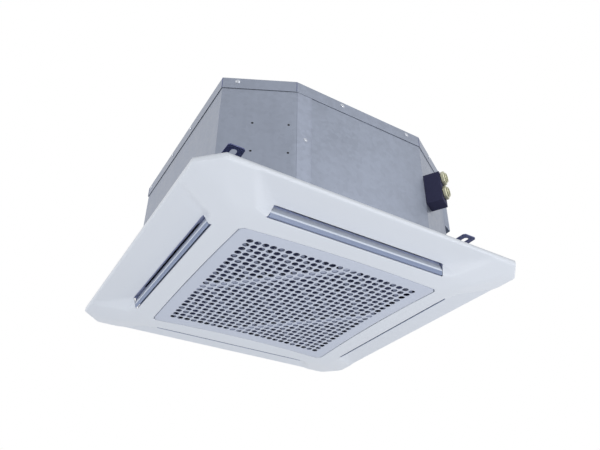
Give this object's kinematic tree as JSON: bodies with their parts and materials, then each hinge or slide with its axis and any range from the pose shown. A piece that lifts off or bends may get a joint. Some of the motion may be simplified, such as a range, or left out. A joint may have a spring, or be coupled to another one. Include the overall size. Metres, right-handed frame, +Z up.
{
  "type": "ceiling cassette air conditioner",
  "caption": "Four-way ceiling cassette: a galvanised casing with hanger brackets and brass water unions above a white square panel with louvred outlets and a perforated intake grille.",
  "frame": {"origin": "centre of the panel, at the level of the grille corners, which are the lowest points", "axes": "+Z up towards the structure above, +X to the right side, where the pump cover and drain outlet are, -Y to the near side; the water pipes leave through the casing corner between +X and -Y"},
  "size_m": [0.72, 0.72, 0.35],
  "materials": {
    "white_plastic": "smooth white moulded plastic, satin",
    "louvre_plastic": "smooth white moulded plastic, satin",
    "galvanised_steel": "galvanised sheet with a faint spangle",
    "dark_steel": "dark zinc-coated strip",
    "white_foam": "moulded expanded polystyrene",
    "black_foam": "closed-cell black foam",
    "aluminium_fins": "thin stamped fins",
    "copper_pipe": "drawn copper tube, dull",
    "brass": "machined pale brass",
    "grey_plastic": "moulded grey plastic",
    "fan_plastic": "moulded dark plastic",
    "black_rubber": "matt rubber",
    "filter_plastic": "fine plastic net in a plastic tray",
    "zinc_steel": "zinc-plated steel"
  },
  "bodies": {
    "unit": {"top_cover": "galvanised_steel", "casing_shell": "galvanised_steel", "insulation_liner": "white_foam", "drain_pan": "white_foam", "bell_mouth": "grey_plastic", "panel_gasket": "black_foam", "hanger_bracket_near_left": "dark_steel", "hanger_bracket_near_right": "dark_steel", "hanger_bracket_far_right": "dark_steel", "hanger_bracket_far_left": "dark_steel", "coil_fins": "aluminium_fins", "coil_end_near": "zinc_steel", "coil_end_right": "zinc_steel", "supply_header": "copper_pipe", "return_header": "copper_pipe", "pipe_block": "black_foam", "supply_union": "brass", "return_union": "brass", "motor_plate": "zinc_steel", "fan_motor": "grey_plastic", "drain_riser": "black_rubber", "drain_pump": "grey_plastic", "pump_cover": "galvanised_steel", "drain_spout": "grey_plastic", "control_box": "galvanised_steel", "control_box_cover": "galvanised_steel", "cable_gland": "black_rubber", "panel_frame": "white_plastic", "panel_screw_near_right": "zinc_steel", "panel_screw_far_right": "zinc_steel", "panel_screw_far_left": "zinc_steel", "panel_screw_near_left": "zinc_steel", "grille_catch_left": "black_rubber", "grille_catch_right": "black_rubber", "louvre_motor_right": "grey_plastic", "louvre_motor_far": "grey_plastic", "louvre_motor_left": "grey_plastic", "louvre_motor_near": "grey_plastic"},
    "fan_rotor": {"fan_wheel": "fan_plastic", "fan_shroud": "fan_plastic", "fan_blade_1": "fan_plastic", "fan_blade_2": "fan_plastic", "fan_blade_3": "fan_plastic", "fan_blade_4": "fan_plastic", "fan_blade_5": "fan_plastic", "fan_blade_6": "fan_plastic", "fan_blade_7": "fan_plastic", "motor_shaft": "zinc_steel", "hub_nut": "zinc_steel"},
    "intake": {"intake_grille": "white_plastic", "grille_strike_left": "zinc_steel", "grille_strike_right": "zinc_steel", "air_filter": "filter_plastic"},
    "float": {"pump_float": "white_plastic"},
    "louvre_right_body": {"louvre_right": "louvre_plastic"},
    "louvre_far_body": {"louvre_far": "louvre_plastic"},
    "louvre_left_body": {"louvre_left": "louvre_plastic"},
    "louvre_near_body": {"louvre_near": "louvre_plastic"}
  },
  "joints": [
    {"name": "fan_spin", "type": "hinge", "parent": "unit", "child": "fan_rotor", "pos_m": [0, 0, 0.2], "axis": [0, 0, 1], "continuous": true},
    {"name": "louvre_right_swing", "type": "hinge", "parent": "unit", "child": "louvre_right_body", "pos_m": [0.273, 0, 0.0115], "axis": [0, 1, 0], "range_deg": [-30, 25]},
    {"name": "louvre_far_swing", "type": "hinge", "parent": "unit", "child": "louvre_far_body", "pos_m": [0, 0.273, 0.0115], "axis": [-1, 0, 0], "range_deg": [-30, 25]},
    {"name": "louvre_left_swing", "type": "hinge", "parent": "unit", "child": "louvre_left_body", "pos_m": [-0.273, 0, 0.0115], "axis": [0, -1, 0], "range_deg": [-30, 25]},
    {"name": "louvre_near_swing", "type": "hinge", "parent": "unit", "child": "louvre_near_body", "pos_m": [0, -0.273, 0.0115], "axis": [1, 0, 0], "range_deg": [-30, 25]},
    {"name": "grille_swing", "type": "hinge", "parent": "unit", "child": "intake", "pos_m": [0, 0.211, 0.0058], "axis": [1, 0, 0], "range_deg": [0, 90]},
    {"name": "float_rise", "type": "slide", "parent": "unit", "child": "float", "axis": [0, 0, 1], "range_m": [0, 0.008]}
  ],
  "couplings": [
    {"joint": "louvre_right_swing", "follows": "louvre_near_swing", "ratio": 1},
    {"joint": "louvre_far_swing", "follows": "louvre_near_swing", "ratio": 1},
    {"joint": "louvre_left_swing", "follows": "louvre_near_swing", "ratio": 1}
  ]
}
